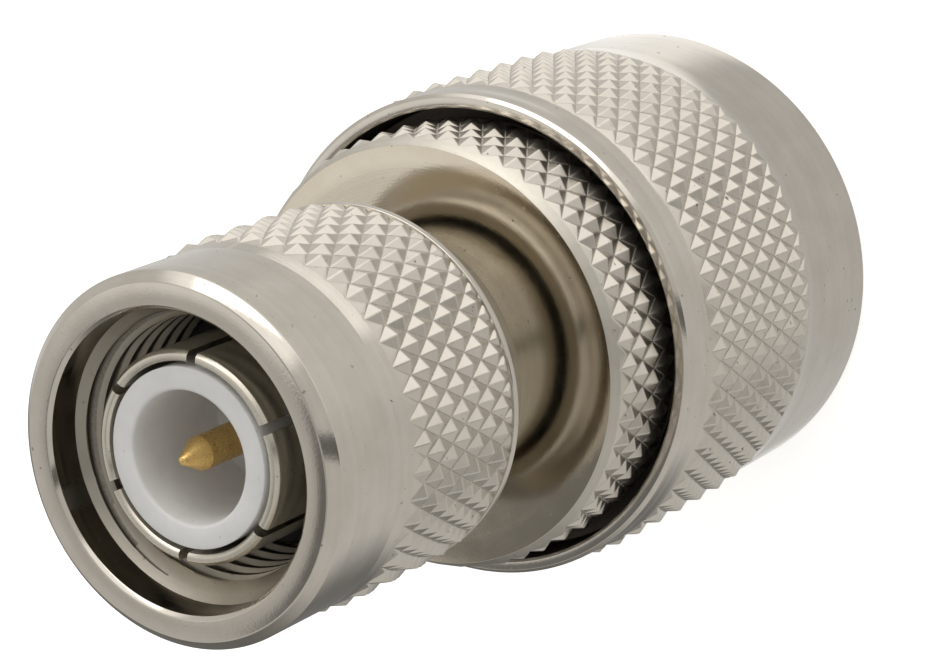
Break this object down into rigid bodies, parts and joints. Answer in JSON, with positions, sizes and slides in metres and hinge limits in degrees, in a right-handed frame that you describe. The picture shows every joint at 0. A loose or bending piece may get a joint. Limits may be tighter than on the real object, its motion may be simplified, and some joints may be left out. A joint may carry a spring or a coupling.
{
  "type": "coaxial adapter, tnc plug to n plug",
  "caption": "Straight nickel-plated coaxial adapter with a small threaded plug and a large threaded plug, each with a knurled coupling nut that turns freely.",
  "frame": {"origin": "centre of the large nut's face, on the axis, at the lowest point of the part", "axes": "+Z along the axis from the large plug to the small plug; one slot of the small plug's contact tube lies 52 degrees from +X towards +Y"},
  "size_m": [0.0212, 0.0212, 0.0369],
  "materials": {
    "nickel_plate": "satin",
    "spring_bronze": "satin",
    "dark_rubber": "matte",
    "white_plastic": "satin",
    "gold_plate": "satin"
  },
  "bodies": {
    "adapter_body": {"main_body": "nickel_plate", "tnc_body": "nickel_plate", "n_retaining_ring": "spring_bronze", "tnc_retaining_ring": "spring_bronze", "n_gasket": "dark_rubber", "tnc_gasket": "dark_rubber", "n_insulator": "white_plastic", "tnc_insulator": "white_plastic", "n_pin": "gold_plate", "tnc_pin": "gold_plate"},
    "large_nut": {"n_nut": "nickel_plate"},
    "small_nut": {"tnc_nut": "nickel_plate"}
  },
  "joints": [
    {"name": "large_nut_turn", "type": "hinge", "parent": "adapter_body", "child": "large_nut", "pos_m": [0, 0, 0.0127], "axis": [0, 0, 1], "continuous": true},
    {"name": "small_nut_turn", "type": "hinge", "parent": "adapter_body", "child": "small_nut", "pos_m": [0, 0, 0.0261], "axis": [0, 0, 1], "continuous": true}
  ]
}
